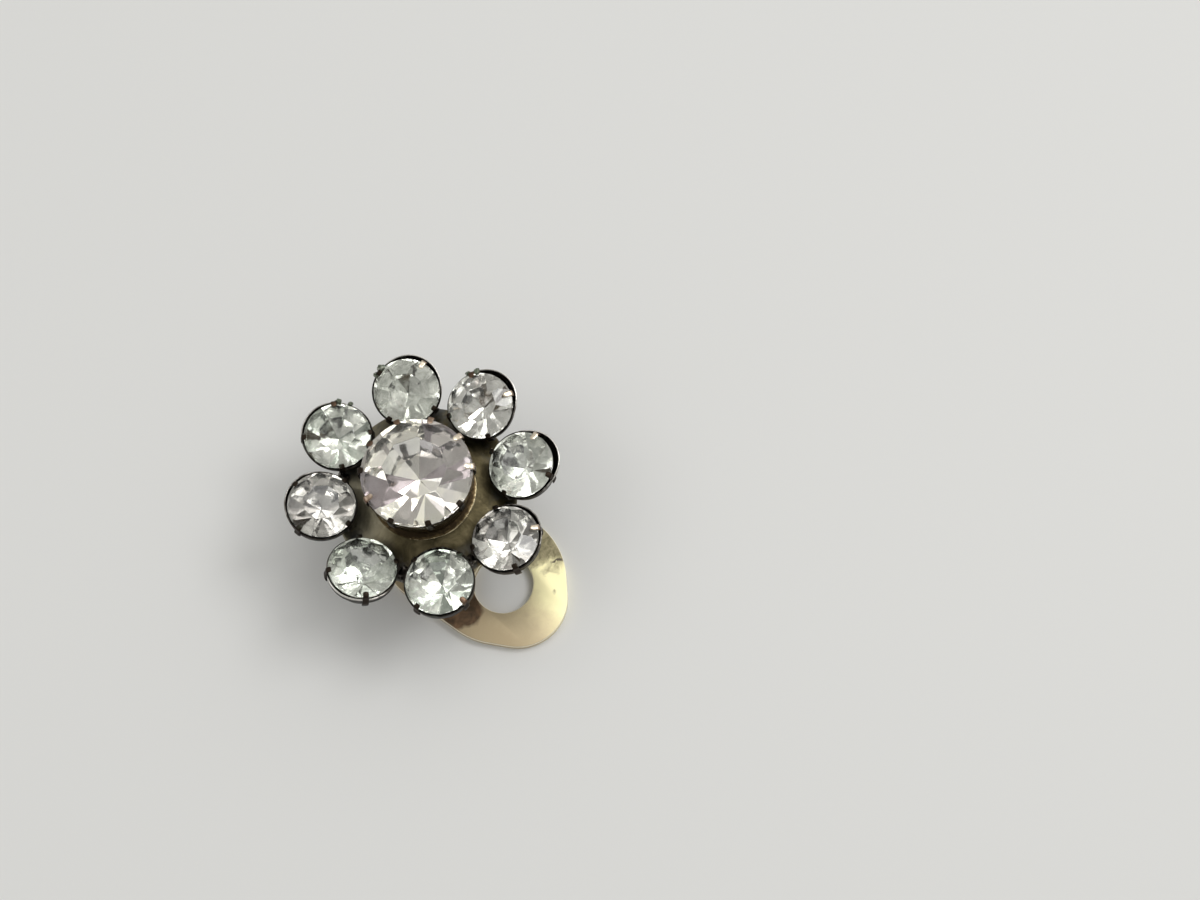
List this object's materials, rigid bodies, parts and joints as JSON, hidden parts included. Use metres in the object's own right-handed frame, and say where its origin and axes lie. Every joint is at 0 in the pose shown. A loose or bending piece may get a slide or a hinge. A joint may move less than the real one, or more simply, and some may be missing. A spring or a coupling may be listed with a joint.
{
  "type": "clip-on earring",
  "caption": "Clip-on flower earring with a raised round stone ringed by smaller foiled stones in claw cups, on a hinged clip paddle with a round hole.",
  "frame": {"origin": "on the flat outer face of the clip paddle, under the flower's axis", "axes": "+Z from the paddle's outer face towards the stones, -Y from the hinge towards the paddle's tip, X across the clip along the hinge pin"},
  "size_m": [0.0211, 0.0245, 0.0133],
  "materials": {
    "tarnished_brass": "darkened by tarnish, satin, with traces of green",
    "foiled_glass": "clear cut glass with a silver foil back",
    "steel": "dull",
    "pale_gold": "pale gold plate, satin, with olive tarnish near the flower"
  },
  "bodies": {
    "flower": {"flower_frame": "tarnished_brass", "center_stone": "foiled_glass", "outer_stone_1": "foiled_glass", "outer_stone_2": "foiled_glass", "outer_stone_3": "foiled_glass", "outer_stone_4": "foiled_glass", "outer_stone_5": "foiled_glass", "outer_stone_6": "foiled_glass", "outer_stone_7": "foiled_glass", "outer_stone_8": "foiled_glass", "clip_bracket": "tarnished_brass", "hinge_pin": "steel"},
    "paddle": {"clip_paddle": "pale_gold"}
  },
  "joints": [
    {"name": "clip_hinge", "type": "hinge", "parent": "paddle", "child": "flower", "pos_m": [-0.00095, 0.005, 0.0015], "axis": [-1, 0, 0], "range_deg": [0, 58], "stiffness_Nm_per_rad": 0.002, "springref_deg": -34.38}
  ]
}
